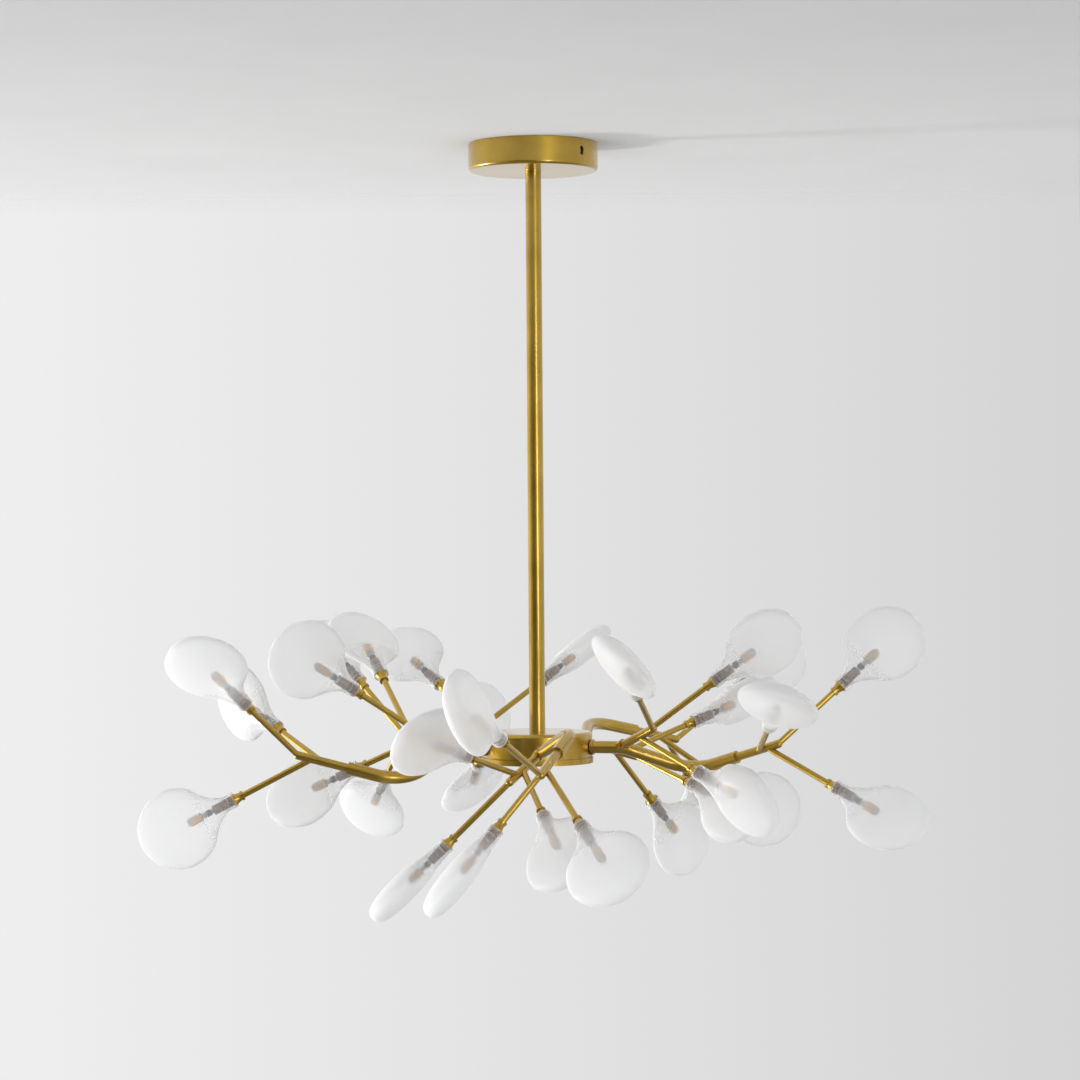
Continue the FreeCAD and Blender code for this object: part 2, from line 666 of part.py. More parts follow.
def lamp_place(place, lip, direction, shade_turn):
    """Lamp axis along its rod, the wide side of the shade turned from level."""
    axis = place.Rotation.multVec(direction)
    level = axis.cross(UP).normalize()
    wide = mixed(level, axis.cross(level), shade_turn)
    rotation = Rotation(wide, axis.cross(wide), axis, "ZXY")
    return Placement(place.multVec(lip), rotation)


def placed(shape, place):
    copy = shape.copy()
    copy.Placement = place.multiply(copy.Placement)
    return copy


def build_arm(index, arm, lamp_parts):
    name = arm["name"]
    place = arm_place(index, arm)
    outer = outer_frame(arm)
    inner = inner_frame(arm)
    save(name + "_arm_tube", [placed(arm_tube(arm, inner), place)])
    save(name + "_arm_nut", [placed(shape, place) for shape in arm_nut()])
    save(name + "_outer_branch", [placed(outer_branch(outer), place)])
    save(name + "_inner_branch", [placed(inner_branch(inner), place)])
    places = {}
    for frame, branch_name in ((outer, "outer"), (inner, "inner")):
        turns = arm[branch_name + "_shades"]
        places[branch_name] = [lamp_place(place, lip, direction, turn)
                               for (start, lip, direction), turn in zip(branch_lamps(frame), turns)]
        shades = [placed(lamp_parts["shade"], spot) for spot in places[branch_name]]
        save("%s_%s_shades" % (name, branch_name), shades)
    both = places["outer"] + places["inner"]
    save(name + "_lamp_cups", [placed(lamp_parts["cup"], spot) for spot in both])
    save(name + "_lamp_sockets", [placed(lamp_parts["socket"], spot) for spot in both])
    save(name + "_led_capsules", [placed(lamp_parts["capsule"], spot) for spot in both])


def build():
    os.makedirs("parts", exist_ok=True)
    save("ceiling_bracket", [ceiling_bracket()])
    save("canopy_cover", [canopy_cover()])
    save("rod_top_nipple", [rod_top_nipple()])
    save("nipple_nuts", nipple_nuts())
    save("led_driver", [led_driver()])
    save("terminal_block", [terminal_block()])
    save("downrod_upper", [downrod_upper()])
    save("downrod_lower", [downrod_lower()])
    save("rod_coupler", [rod_coupler()])
    save("hub_drum", [hub_drum()])
    save("hub_lid", [hub_lid()])
    save("hub_rod_nut", [hub_rod_nut()])
    save("lid_screws", lid_screws())
    lamp_parts = {"cup": lamp_cup(), "socket": lamp_socket(),
                  "capsule": led_capsule(), "shade": pebble_shade()}
    for index, arm in enumerate(ARMS):
        build_arm(index, arm, lamp_parts)


build()
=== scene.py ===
"""Sputnik chandelier: the looks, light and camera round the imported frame. Lengths are in metres."""
import json
import math

import bpy
import numpy as np
from mathutils import Matrix, Vector

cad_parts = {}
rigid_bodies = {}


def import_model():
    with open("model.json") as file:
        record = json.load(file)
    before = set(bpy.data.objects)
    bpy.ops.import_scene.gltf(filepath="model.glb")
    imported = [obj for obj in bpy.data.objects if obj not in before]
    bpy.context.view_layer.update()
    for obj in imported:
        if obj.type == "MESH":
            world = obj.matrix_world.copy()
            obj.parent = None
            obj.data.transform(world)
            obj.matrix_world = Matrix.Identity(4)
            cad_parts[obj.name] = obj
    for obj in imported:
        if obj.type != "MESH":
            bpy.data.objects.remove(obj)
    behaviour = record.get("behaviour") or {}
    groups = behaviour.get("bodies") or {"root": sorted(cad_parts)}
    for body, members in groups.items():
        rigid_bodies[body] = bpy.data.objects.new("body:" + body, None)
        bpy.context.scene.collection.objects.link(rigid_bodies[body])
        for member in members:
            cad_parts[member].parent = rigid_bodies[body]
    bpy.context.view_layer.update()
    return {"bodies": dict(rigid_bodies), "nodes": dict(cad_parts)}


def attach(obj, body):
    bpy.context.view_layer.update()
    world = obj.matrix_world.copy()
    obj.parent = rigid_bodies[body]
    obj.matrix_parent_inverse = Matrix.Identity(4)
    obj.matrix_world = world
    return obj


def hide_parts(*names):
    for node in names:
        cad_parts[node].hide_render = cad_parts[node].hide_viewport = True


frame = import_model()

MM = 0.001

# Camera: level, as far off as the perspective of the canopy and the lamps shows

PHOTO_SIDE = 1080
FOCAL_PX = 2914
SENSOR_MM = 36
CAMERA_PLACE = (0.0041, -2.914, -0.3957)
CAMERA_ROLL = -0.0075

# Background as the photograph shows it: bright at the left, darker at the right

BACK_EDGE = 0.185             # sideways part of a ray's direction at the picture's edge
BACK_LEFT = 0.86
BACK_RIGHT = 0.66
DARK_SIDE = (-0.40, -0.91, 0.0)    # where metal mirrors a dark screen
DARK_FROM = 0.3
DARK_FULL = 0.95
DARK_LEVEL = 0.06

# Light

LIGHT_LEFT = 1.32
LIGHT_RIGHT = 0.84
SUN_TOWARDS = (0.88, -0.195, 0.36)
SUN_STRENGTH = 1.6
SUN_ANGLE = math.radians(9)
STRIP_LIGHT = {"place": (1.3, -2.6, -0.6), "aim": (0, 0, -0.5), "width": 0.35, "height": 1.6,
               "power": 16}
FILL_LIGHT = {"place": (-1.6, -1.25, -0.9), "aim": (-0.2, 0, -0.6), "width": 0.9, "height": 0.9,
              "power": 8}

# Ceiling and floor

CEILING_GAP = 0.0004
CEILING_OPEN_R = 0.058        # open over the canopy, so its inside is seen lit from above
CEILING_NEAR = -1.6
CEILING_FAR = 0.62
CEILING_HALF_WIDTH = 2.6
CEILING_FADE_FAR = 0.1        # where it starts to fade out
CEILING_FADE_WIDE = 1.4
# Painted light and shade on the ceiling: its paint is darker towards the camera and at the right,
# lighter far off and at the left
PAINTED_SHADE_NEAR = -0.8              # painted shade, from near the camera to far off at the canopy
PAINTED_SHADE_FAR = 0.05
PAINTED_SHADE_HALF_WIDTH = 0.6
NEAR_SHADED_LEVEL = 0.487
FAR_LIT_LEVEL = 0.645
LEFT_LIT_SHARE = 1.04
RIGHT_SHADED_SHARE = 0.91
FLOOR_HEIGHT = -2.4
FLOOR_HALF = 4.5
FLOOR_FADE = 1.5
FLOOR_SHADED_BOUNCE = 0.65           # painted shade: the floor gives back less light than it looks pale
FLOOR_DARK_REFLECTION = 0.2          # painted dark reflection, darker still in what shines, for the metal's undersides

# Shade, lamp lip at zero and the lamp's axis along Z

SHADE_SIDES = 56
SHADE_STEPS = 4
SHADE_R = 39.5 * MM
SHADE_HALF_T = 13.5 * MM
SHADE_CENTRE = 60.5 * MM
SHADE_WALL = 1.3 * MM
SHADE_NECK_R = 7.8 * MM
SHADE_NECK_L = 10.0 * MM
SHADE_OVERLAP = 1.5 * MM
SHADE_SHOULDER = (23.0 * MM, 15.8 * MM, 9.45 * MM)
THICKNESS_POWER = 2.6
DISC_ANGLES = (50, 64, 78, 92, 106, 120, 134, 147, 159, 168, 174)
NECK_SHARES = (0.06, 0.3, 0.6, 0.85)

RIM_MILK = 0.75               # milkier where a wall is seen edge on
RIM_POWER = 2.0
HAZE_FOOT = 4 * MM            # heights between which haze and milk grow
HAZE_TOP = 48 * MM
HAZE_FOOT_SHARE = 0.4
MILK_FOOT = 5 * MM
MILK_TOP = 42 * MM

# Lamp socket and capsule. A groove is its depth and its half width.

SOCKET_R = 5.1 * MM
SOCKET_FOOT = -2.2 * MM
SOCKET_TOP = 12.0 * MM
SOCKET_EDGE = 0.4 * MM
SOCKET_GROOVES = (2.4 * MM, 5.2 * MM, 8.6 * MM)
SOCKET_GROOVE = (0.5 * MM, 0.6 * MM)
CAPSULE_R = 4.75 * MM
CAPSULE_EDGE = 0.5 * MM
CAPSULE_LIFT = 0.05 * MM      # clear of the socket's top
CAPSULE_GROOVES = (15.5 * MM, 18.5 * MM)
CAPSULE_GROOVE = (0.4 * MM, 0.5 * MM)
WAIST_R = 3.6 * MM
WAIST_DEPTH = 1.3 * MM
WAIST_FOOT = 22.0 * MM
TIP_FOOT = 34.0 * MM
TIP_TOP = 50.0 * MM
TIP_ROUND = 2.2 * MM
STRIPS = 4
STRIP_HALF_W = 2.1 * MM
STRIP_FACE = 4.25 * MM        # axis to the strip's face
STRIP_T = 0.6 * MM
STRIP_EDGE = 0.15 * MM
CHIP = (1.6 * MM, 3.6 * MM, 4.6 * MM)
CHIP_EDGE = 0.2 * MM
CHIP_HEIGHTS = (27.0 * MM, 26.2 * MM)
SMALL_PART = (1.1 * MM, 2.0 * MM, 1.8 * MM)
SMALL_PART_EDGE = 0.15 * MM
SMALL_PART_RISE = 4.8 * MM    # above its chip's middle
CHIP_SIDES = 4
PIN_R = 0.5 * MM
PIN_OFF = 2.0 * MM
PIN_L = 5.0 * MM
LATHE_SIDES = 32
PIN_SIDES = 12

ARMS = [body[:-len("_arm")] for body in frame["bodies"] if body.endswith("_arm")]


# Shader helpers

def new_tree(name):
    material = bpy.data.materials.new(name)
    material.use_nodes = True
    material.node_tree.nodes.clear()
    return material, material.node_tree


def put(tree, kind, inputs=None, **settings):
    """A shader node. An input that is a socket is linked, any other is set as a value."""
    made = tree.nodes.new("ShaderNode" + kind)
    for name, value in settings.items():
        setattr(made, name, value)
    for name, value in (inputs or {}).items():
        if isinstance(value, bpy.types.NodeSocket):
            tree.links.new(value, made.inputs[name])
        else:
            made.inputs[name].default_value = value
    return made


def mix_colour(tree, factor, first, second, blend="MIX"):
    made = put(tree, "Mix", {0: factor, 6: first, 7: second}, data_type="RGBA", blend_type=blend)
    return made.outputs[2]


def ranged(tree, value, low, high, to_low, to_high):
    made = put(tree, "MapRange", {0: value, 1: low, 2: high, 3: to_low, 4: to_high})
    return made.outputs[0]


def maths(tree, operation, first, second=0.0):
    return put(tree, "Math", {0: first, 1: second}, operation=operation).outputs[0]


def noise(tree, place, scale, detail=3.0):
    return put(tree, "TexNoise", {"Vector": place, "Scale": scale, "Detail": detail}).outputs[0]


def bump(tree, height, strength, distance):
    made = put(tree, "Bump", {"Height": height, "Strength": strength, "Distance": distance})
    return made.outputs[0]


def object_place(tree):
    return put(tree, "TexCoord").outputs["Object"]


def lamp_place(tree):
    """Each point's place in its own lamp, which the lamp pieces carry as an attribute."""
    return put(tree, "Attribute", attribute_name="lamp").outputs["Vector"]


def finish_surface(tree, shader):
    put(tree, "OutputMaterial", {"Surface": shader})


def grey(level):
    return (level, level, level, 1.0)


# Materials

def satin_gold():
    """Metallic gold paint: fine flakes, a soft clear top coat and slow shifts of colour."""
    material, tree = new_tree("satin_gold_paint")
    place = object_place(tree)
    flakes = put(tree, "TexVoronoi", {"Vector": place, "Scale": 1500.0}).outputs["Color"]
    flake = put(tree, "SeparateColor", {0: flakes}).outputs[0]
    slow = noise(tree, place, 22.0)
    deep = (0.46, 0.285, 0.022, 1.0)
    warm = (0.60, 0.385, 0.045, 1.0)
    colour = mix_colour(tree, ranged(tree, slow, 0.3, 0.7, 0.0, 1.0), deep, warm)
    sparkle = ranged(tree, flake, 0.0, 1.0, 0.94, 1.06)
    tone = put(tree, "CombineColor", {0: sparkle, 1: sparkle, 2: sparkle}).outputs[0]
    colour = mix_colour(tree, 1.0, colour, tone, "MULTIPLY")
    rough = ranged(tree, flake, 0.0, 1.0, 0.3, 0.38)
    normal = bump(tree, flake, 0.06, 0.0001)
    shader = put(tree, "BsdfPrincipled", {
        "Base Color": colour, "Metallic": 1.0, "Roughness": rough, "Normal": normal,
        "Coat Weight": 1.0, "Coat Roughness": 0.12, "Coat IOR": 1.5})
    finish_surface(tree, shader.outputs[0])
    return material


def plated_steel():
    material, tree = new_tree("zinc_plated_steel")
    place = object_place(tree)
    cloud = noise(tree, place, 90.0)
    colour = mix_colour(tree, cloud, (0.45, 0.46, 0.47, 1.0), (0.72, 0.73, 0.74, 1.0))
    shader = put(tree, "BsdfPrincipled", {
        "Base Color": colour, "Metallic": 1.0,
        "Roughness": ranged(tree, cloud, 0.3, 0.7, 0.24, 0.42),
        "Normal": bump(tree, noise(tree, place, 700.0), 0.2, 0.0001)})
    finish_surface(tree, shader.outputs[0])
    return material


def moulded_plastic(name, colour, roughness, scale):
    """A plain moulding with a fine spark-eroded grain."""
    material, tree = new_tree(name)
    place = object_place(tree)
    darker = tuple(0.88 * part for part in colour[:3]) + (1.0,)
    tone = mix_colour(tree, noise(tree, place, 60.0), colour, darker)
    shader = put(tree, "BsdfPrincipled", {
        "Base Color": tone, "Roughness": roughness,
        "Normal": bump(tree, noise(tree, place, scale), 0.3, 0.0001)})
    finish_surface(tree, shader.outputs[0])
    return material


def frosted_shade(name, milk, haze):
    """Acrylic that light passes. Its milk scatters white, its haze blurs what is behind it."""
    material, tree = new_tree(name)
    place = object_place(tree)
    lamp = put(tree, "SeparateXYZ", {0: lamp_place(tree)}).outputs[2]
    etched = noise(tree, place, 1300.0, 2.0)
    base = ranged(tree, lamp, HAZE_FOOT, HAZE_TOP, HAZE_FOOT_SHARE * haze, haze)
    rough = maths(tree, "ADD", base, ranged(tree, etched, 0.3, 0.7, -0.02, 0.02))
    facing = put(tree, "LayerWeight", {"Blend": 0.5}).outputs["Facing"]
    edge_on = maths(tree, "POWER", facing, RIM_POWER)
    rim = maths(tree, "SUBTRACT", 1.0, maths(tree, "MULTIPLY", RIM_MILK, edge_on))
    body = ranged(tree, lamp, MILK_FOOT, MILK_TOP, 1 - milk / 3, 1 - milk)
    clear = maths(tree, "MULTIPLY", rim, body)
    shader = put(tree, "BsdfPrincipled", {
        "Base Color": (0.995, 0.996, 0.998, 1.0), "Roughness": rough,
        "Transmission Weight": clear, "IOR": 1.15, "Specular IOR Level": 0.3,
        "Normal": bump(tree, etched, 0.08, 0.00005)})
    finish_surface(tree, shader.outputs[0])
    return material


def socket_ceramic():
    """Brown socket moulding in darker and paler bands along its height."""
    material, tree = new_tree("lamp_socket_body")
    place = lamp_place(tree)
    height = put(tree, "SeparateXYZ", {0: place}).outputs[2]
    bands = put(tree, "ValToRGB", {0: ranged(tree, height, SOCKET_FOOT, SOCKET_TOP, 0.0, 1.0)})
    ramp = bands.color_ramp
    ramp.interpolation = "EASE"
    stops = ((0.0, (0.16, 0.10, 0.08)), (0.3, (0.30, 0.20, 0.16)), (0.42, (0.09, 0.06, 0.05)),
             (0.55, (0.42, 0.33, 0.28)), (0.72, (0.20, 0.13, 0.10)), (1.0, (0.34, 0.26, 0.22)))
    fill_ramp(ramp, stops)
    shader = put(tree, "BsdfPrincipled", {
        "Base Color": bands.outputs[0], "Roughness": 0.45,
        "Normal": bump(tree, noise(tree, place, 900.0), 0.3, 0.0001)})
    finish_surface(tree, shader.outputs[0])
    return material


def fill_ramp(ramp, stops):
    """Colour stops, linear RGB."""
    while len(ramp.elements) < len(stops):
        ramp.elements.new(1.0)
    for element, (position, colour) in zip(ramp.elements, stops):
        element.position = position
        element.color = (*colour, 1.0)


def capsule_body():
    """Brown base below the waist, pale grey board above it."""
    material, tree = new_tree("capsule_body")
    place = lamp_place(tree)
    height = put(tree, "SeparateXYZ", {0: place}).outputs[2]
    grain = noise(tree, place, 260.0)
    base = mix_colour(tree, grain, (0.16, 0.10, 0.08, 1.0), (0.36, 0.26, 0.21, 1.0))
    board = mix_colour(tree, grain, (0.30, 0.29, 0.29, 1.0), (0.50, 0.48, 0.47, 1.0))
    above = ranged(tree, height, WAIST_FOOT - 2 * CAPSULE_EDGE, WAIST_FOOT, 0.0, 1.0)
    tone = mix_colour(tree, above, base, board)
    shader = put(tree, "BsdfPrincipled", {
        "Base Color": tone, "Roughness": 0.4,
        "Normal": bump(tree, noise(tree, place, 800.0), 0.2, 0.0001)})
    finish_surface(tree, shader.outputs[0])
    return material


def light_strip():
    """Amber phosphor with a row of round dies along each strip."""
    material, tree = new_tree("led_strip_phosphor")
    place = lamp_place(tree)
    dots = put(tree, "TexVoronoi", {"Vector": place, "Scale": 620.0, "Randomness": 0.0})
    round_die = ranged(tree, dots.outputs["Distance"], 0.22, 0.36, 1.0, 0.0)
    tone = mix_colour(tree, round_die, (0.66, 0.36, 0.09, 1.0), (1.0, 0.70, 0.24, 1.0))
    shader = put(tree, "BsdfPrincipled", {
        "Base Color": tone, "Roughness": 0.3,
        "Normal": bump(tree, round_die, 0.4, 0.0002)})
    finish_surface(tree, shader.outputs[0])
    return material


# Mesh helpers. A form is its vertices and its faces.

OUTSIDE, INSIDE = range(2)               # shade looks


def lathe(outline, sides=LATHE_SIDES):
    """Vertices and faces of a turned form. The outline runs from foot to top as (height, radius)."""
    verts = []
    faces = []
    for height, radius in outline:
        for side in range(sides):
            angle = 2 * math.pi * side / sides
            verts.append(Vector((radius * math.cos(angle), radius * math.sin(angle), height)))
    for ring in range(len(outline) - 1):
        faces += ring_faces(ring * sides, (ring + 1) * sides, sides)
    faces.append(list(range(sides))[::-1])
    faces.append([(len(outline) - 1) * sides + side for side in range(sides)])
    return verts, faces


def ring_faces(first, second, sides):
    return [[first + side, first + (side + 1) % sides,
             second + (side + 1) % sides, second + side] for side in range(sides)]


def moved(form, matrix):
    verts, faces = form
    return [matrix @ vert for vert in verts], faces


def joined(forms):
    """One form of several, each with the index of its material or a list of them, one a face."""
    verts, faces, kinds = [], [], []
    for (part_verts, part_faces), kind in forms:
        start = len(verts)
        verts += part_verts
        faces += [[start + corner for corner in face] for face in part_faces]
        kinds += kind if isinstance(kind, list) else [kind] * len(part_faces)
    return verts, faces, kinds


def smooth_line(points, steps):
    """Catmull-Rom through the points, each a tuple of numbers."""
    points = [np.array(point) for point in points]
    padded = [2 * points[0] - points[1], *points, 2 * points[-1] - points[-2]]
    line = []
    for start in range(len(points) - 1):
        before, first, last, after = padded[start:start + 4]
        for step in range(steps):
            t = step / steps
            line.append(0.5 * (2 * first + (last - before) * t
                               + (2 * before - 5 * first + 4 * last - after) * t ** 2
                               + (3 * first - before - 3 * last + after) * t ** 3))
    return [*line, points[-1]]


def shade_sections(inset):
    """Rings of the shade from its neck to its far end, as (height, half width, half thickness)."""
    neck = SHADE_NECK_R - inset
    centre, radius, half_t = SHADE_CENTRE, SHADE_R - inset, SHADE_HALF_T - inset
    height, width, thick = SHADE_SHOULDER
    sections = [(SHADE_NECK_L * share, neck, neck) for share in NECK_SHARES]
    sections += [(SHADE_NECK_L, neck, neck), (height, width - inset, thick - inset)]
    for angle in DISC_ANGLES:
        along = math.cos(math.radians(angle))
        across = math.sin(math.radians(angle))
        thickness = (1 - abs(along) ** THICKNESS_POWER) ** (1 / THICKNESS_POWER)
        sections.append((centre - radius * along, radius * across, half_t * thickness))
    return smooth_line(sections, SHADE_STEPS)


def lip_sections():
    """The rounded end of the neck, from the inner face round to the outer one."""
    middle = SHADE_NECK_R - SHADE_WALL / 2
    half = SHADE_WALL / 2
    sections = []
    for angle in range(0, 181, 30):
        radius = middle - half * math.cos(math.radians(angle))
        height = -SHADE_OVERLAP + half - half * math.sin(math.radians(angle))
        sections.append((height, radius, radius))
    return sections


def shade_form():
    """A closed shell from its inner face round the lip to its outer face, and each face's look."""
    inner = shade_sections(SHADE_WALL)
    outer = shade_sections(0)
    rings = [*reversed(inner), *lip_sections(), *outer]
    verts = []
    for height, width, thick in rings:
        for side in range(SHADE_SIDES):
            angle = 2 * math.pi * side / SHADE_SIDES
            verts.append(Vector((width * math.cos(angle), thick * math.sin(angle), height)))
    faces = []
    looks = []
    for ring in range(len(rings) - 1):
        faces += ring_faces(ring * SHADE_SIDES, (ring + 1) * SHADE_SIDES, SHADE_SIDES)
        looks += [INSIDE if ring < len(inner) - 1 else OUTSIDE] * SHADE_SIDES
    last = (len(rings) - 1) * SHADE_SIDES
    for first, inset, turn, look in ((0, SHADE_WALL, -1, INSIDE), (last, 0, 1, OUTSIDE)):
        pole = len(verts)
        verts.append(Vector((0, 0, SHADE_CENTRE + SHADE_R - inset)))
        for side in range(SHADE_SIDES):
            face = [first + side, first + (side + 1) % SHADE_SIDES, pole]
            faces.append(face[::turn])
            looks.append(look)
    return (verts, faces), looks


def groove(height, radius, size):
    """A turned groove: four points of an outline."""
    depth, half = size
    return [(height - half, radius), (height - half / 2, radius - depth),
            (height + half / 2, radius - depth), (height + half, radius)]


def socket_form():
    edge = SOCKET_EDGE
    outline = [(SOCKET_FOOT, SOCKET_R - edge), (SOCKET_FOOT + edge, SOCKET_R)]
    for height in SOCKET_GROOVES:
        outline += groove(height, SOCKET_R, SOCKET_GROOVE)
    outline += [(SOCKET_TOP - 2 * edge, SOCKET_R), (SOCKET_TOP - edge, SOCKET_R - edge / 3),
                (SOCKET_TOP, SOCKET_R - edge)]
    return lathe(outline)


def box_form(centre, size, edge):
    """A block with its four long edges taken off, upright along the lamp."""
    half_x, half_y, half_z = (part / 2 for part in size)
    corners = [(half_x, half_y - edge), (half_x - edge, half_y), (edge - half_x, half_y),
               (-half_x, half_y - edge), (-half_x, edge - half_y), (edge - half_x, -half_y),
               (half_x - edge, -half_y), (half_x, edge - half_y)]
    verts = []
    rings = ((-half_z, edge), (edge - half_z, 0), (half_z - edge, 0), (half_z, edge))
    for height, inset in rings:
        for x, y in corners:
            pull_x = 1 - inset / half_x
            pull_y = 1 - inset / half_y
            verts.append(Vector(centre) + Vector((x * pull_x, y * pull_y, height)))
    count = len(corners)
    faces = []
    for ring in range(len(rings) - 1):
        faces += ring_faces(ring * count, (ring + 1) * count, count)
    faces.append(list(range(count))[::-1])
    faces.append([(len(rings) - 1) * count + corner for corner in range(count)])
    return verts, faces


BODY, DARK, STRIP, STEEL = range(4)      # capsule looks


def capsule_forms():
    """Base, waist with its electronics, and the tip with its upright light strips."""
    edge = CAPSULE_EDGE
    base = [(SOCKET_TOP + CAPSULE_LIFT, CAPSULE_R - edge), (SOCKET_TOP + edge, CAPSULE_R)]
    for height in CAPSULE_GROOVES:
        base += groove(height, CAPSULE_R, CAPSULE_GROOVE)
    base += [(WAIST_FOOT - edge, CAPSULE_R), (WAIST_FOOT, CAPSULE_R - edge)]
    waist_core = WAIST_R - WAIST_DEPTH
    waist = [(WAIST_FOOT - edge, waist_core), (TIP_FOOT + edge, waist_core)]
    core_r = STRIP_FACE - STRIP_T / 2
    tip = [(TIP_FOOT, core_r - edge), (TIP_FOOT + edge, core_r)]
    for angle in range(0, 91, 15):
        turn = math.radians(angle)
        tip.append((TIP_TOP - TIP_ROUND + TIP_ROUND * math.sin(turn),
                    core_r - TIP_ROUND + TIP_ROUND * math.cos(turn)))
    forms = [(lathe(base), BODY), (lathe(waist), BODY), (lathe(tip), BODY)]
    strip_l = TIP_TOP - TIP_FOOT - TIP_ROUND - 2 * edge
    strip_mid = TIP_FOOT + edge + strip_l / 2
    strip = box_form((core_r, 0, strip_mid), (STRIP_T, 2 * STRIP_HALF_W, strip_l), STRIP_EDGE)
    for index in range(STRIPS):
        turn = Matrix.Rotation(2 * math.pi * index / STRIPS, 4, "Z")
        forms.append((moved(strip, turn), STRIP))
    forms += waist_parts(waist_core)
    pin = lathe([(SOCKET_TOP - PIN_L, PIN_R / 2), (SOCKET_TOP - PIN_L + PIN_R, PIN_R),
                 (SOCKET_TOP + edge, PIN_R)], PIN_SIDES)
    for side in (-1, 1):
        forms.append((moved(pin, Matrix.Translation((side * PIN_OFF, 0, 0))), STEEL))
    return forms


def waist_parts(core):
    """Chips and small parts on the board round the waist."""
    parts = []
    for index in range(CHIP_SIDES):
        turn = Matrix.Rotation(2 * math.pi * index / CHIP_SIDES, 4, "Z")
        middle = CHIP_HEIGHTS[index % 2]
        chip = box_form((core, 0, middle), CHIP, CHIP_EDGE)
        small = box_form((core, 0, middle + SMALL_PART_RISE), SMALL_PART, SMALL_PART_EDGE)
        parts += [(moved(chip, turn), DARK), (moved(small, turn), STEEL)]
    return parts


# Lamp places, read from the frame

def node_islands(name):
    """The corners of each separate solid of a CAD node, with its triangles' middles and areas."""
    mesh = frame["nodes"][name].data
    mesh.calc_loop_triangles()
    points = np.empty(len(mesh.vertices) * 3)
    mesh.vertices.foreach_get("co", points)
    points = points.reshape(-1, 3)
    corners = np.empty(len(mesh.loop_triangles) * 3, dtype=np.int64)
    mesh.loop_triangles.foreach_get("vertices", corners)
    unique, index = np.unique(np.round(points / (MM / 100)).astype(np.int64), axis=0,
                              return_inverse=True)
    triangles = index.ravel()[corners].reshape(-1, 3)
    label = np.arange(len(unique))
    changed = True
    while changed:
        lowest = label[triangles].min(axis=1)
        fresh = label.copy()
        np.minimum.at(fresh, triangles.ravel(), np.repeat(lowest, 3))
        fresh = fresh[fresh]
        changed = not np.array_equal(fresh, label)
        label = fresh
    places = points[corners].reshape(-1, 3, 3)
    areas = np.linalg.norm(np.cross(places[:, 1] - places[:, 0], places[:, 2] - places[:, 0]), axis=1)
    group = label[triangles[:, 0]]
    for chosen in np.unique(group):
        mask = group == chosen
        yield places[mask].reshape(-1, 3), places[mask].mean(axis=1), areas[mask]


def shade_place(corners, middles, areas):
    """The lamp's own frame: Z along its axis away from the cup, X across the disc, lip at zero."""
    weight = areas / areas.sum()
    centre = (middles * weight[:, None]).sum(axis=0)
    away = middles - centre
    spread = (away * weight[:, None]).T @ away
    thin, wide, axis = np.linalg.eigh(spread)[1].T
    along = (corners - centre) @ axis
    if along.max() > -along.min():
        axis, along = -axis, -along
    lip = centre + axis * (along.min() + SHADE_OVERLAP)
    if np.dot(np.cross(thin, axis), wide) < 0:
        wide = -wide
    return Matrix(((wide[0], thin[0], axis[0], lip[0]), (wide[1], thin[1], axis[1], lip[1]),
                   (wide[2], thin[2], axis[2], lip[2]), (0, 0, 0, 1)))


def lamp_piece(name, forms, places, materials, body, nodes):
    """One object with the same lamp part at each place, every point keeping its place in the lamp."""
    local, faces, kinds = joined(forms)
    verts, all_faces = [], []
    for place in places:
        start = len(verts)
        verts += [place @ vert for vert in local]
        all_faces += [[start + corner for corner in face] for face in faces]
    mesh = bpy.data.meshes.new(name)
    mesh.from_pydata(verts, [], all_faces)
    for material in materials:
        mesh.materials.append(material)
    mesh.polygons.foreach_set("material_index", kinds * len(places))
    mesh.polygons.foreach_set("use_smooth", [True] * len(all_faces))
    lamp = mesh.attributes.new("lamp", "FLOAT_VECTOR", "POINT")
    lamp.data.foreach_set("vector", [part for vert in local for part in vert] * len(places))
    mesh.update()
    piece = bpy.data.objects.new(name, mesh)
    bpy.context.scene.collection.objects.link(piece)
    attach(piece, body)
    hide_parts(*nodes)
    return piece


def sharpen(piece, degrees=35):
    """Flat ends and edges of turned parts stay crisp under smooth shading."""
    with bpy.context.temp_override(object=piece, active_object=piece, selected_objects=[piece],
                                   selected_editable_objects=[piece]):
        bpy.ops.object.shade_smooth_by_angle(angle=math.radians(degrees))


def dress_lamps(looks):
    """Shades, sockets and capsules of every arm."""
    shade = [shade_form()]
    shade_looks = [looks["shade"], looks["shade_inside"]]
    socket = [(socket_form(), 0)]
    capsule = capsule_forms()
    capsule_looks = [looks["capsule"], looks["dark"], looks["strip"], looks["steel"]]
    for arm in ARMS:
        body = arm + "_arm"
        all_places = []
        for branch in ("outer", "inner"):
            node = f"{arm}_{branch}_shades"
            places = [shade_place(*island) for island in node_islands(node)]
            lamp_piece(f"{arm}_{branch}_pebbles", shade, places, shade_looks, body,
                       [node])
            all_places += places
        made = lamp_piece(arm + "_socket_bodies", socket, all_places, [looks["socket"]], body,
                          [arm + "_lamp_sockets"])
        sharpen(made)
        made = lamp_piece(arm + "_capsule_lamps", capsule, all_places, capsule_looks, body,
                          [arm + "_led_capsules"])
        sharpen(made)


# CAD nodes that keep their shape

NODE_LOOKS = {
    "gold": ["canopy_cover", "downrod_upper", "downrod_lower", "hub_drum", "hub_lid"],
    "steel": ["ceiling_bracket", "rod_top_nipple", "nipple_nuts", "rod_coupler", "hub_rod_nut",
              "lid_screws"],
    "driver": ["led_driver"],
    "terminal": ["terminal_block"],
}
ARM_LOOKS = {"gold": ["arm_tube", "outer_branch", "inner_branch", "lamp_cups"], "steel": ["arm_nut"]}


def dress_node(name, material):
    node = frame["nodes"][name]
    for slot in node.material_slots:
        slot.material = material
    if not node.material_slots:
        node.data.materials.append(material)


